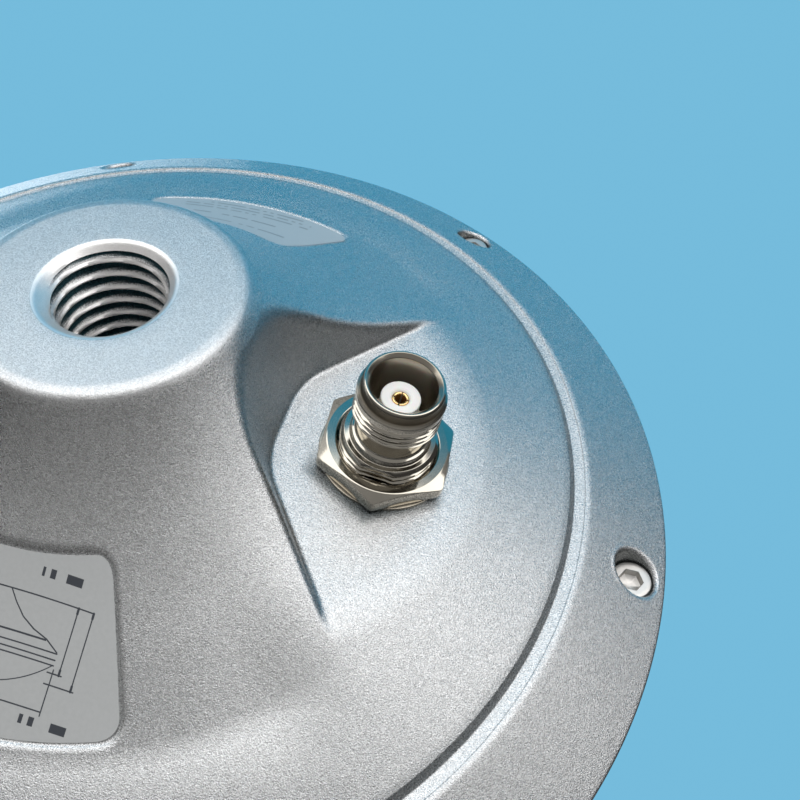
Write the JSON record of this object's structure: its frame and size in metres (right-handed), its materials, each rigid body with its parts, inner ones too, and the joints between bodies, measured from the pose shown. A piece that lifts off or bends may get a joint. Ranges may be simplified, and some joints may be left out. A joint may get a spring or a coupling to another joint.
{
  "type": "gnss antenna",
  "caption": "Satellite-positioning antenna: shallow domed radome on a cast conical base with a threaded pole boss, a tilted coaxial socket on a drafted pad and label recesses.",
  "frame": {"origin": "centre of the boss face that sits on the pole, which is also the bottom centre of the whole antenna", "axes": "+Z from the boss face up to the crown of the radome, +X to the connector, +Y to the first label"},
  "size_m": [0.152, 0.152, 0.068],
  "materials": {
    "cast_aluminium": "satin blasted casting",
    "radome_plastic": "satin moulded plastic",
    "brass": "knurled",
    "seal_rubber": "moulded rubber",
    "screw_steel": "stainless steel",
    "nickel": "nickel plating on brass",
    "white_insulator": "turned white insulator",
    "gold": "gold plating",
    "label_film": "printed film",
    "board_green": "circuit board",
    "tinplate": "tinned sheet",
    "chip_black": "moulded chips",
    "patch_copper": "copper-faced board",
    "nylon": "moulded nylon",
    "lead_jacket": "thin coaxial cable"
  },
  "bodies": {
    "root": {"base": "cast_aluminium", "radome": "radome_plastic", "radome_inserts": "brass", "flange_seal": "seal_rubber", "flange_screws": "screw_steel", "connector_shell": "nickel", "connector_insulator": "white_insulator", "connector_contact": "gold", "connector_nut": "nickel", "connector_gasket": "seal_rubber", "spec_label": "label_film", "type_label": "label_film", "ground_board": "board_green", "board_screws": "screw_steel", "shield_can": "tinplate", "amplifier_chips": "chip_black", "lower_patch": "patch_copper", "upper_patch": "patch_copper", "lower_spacers": "nylon", "upper_spacers": "nylon", "feed_pins": "gold", "centre_post": "screw_steel", "board_socket": "gold", "lead_plug": "gold", "coax_lead": "lead_jacket"}
  },
  "joints": []
}
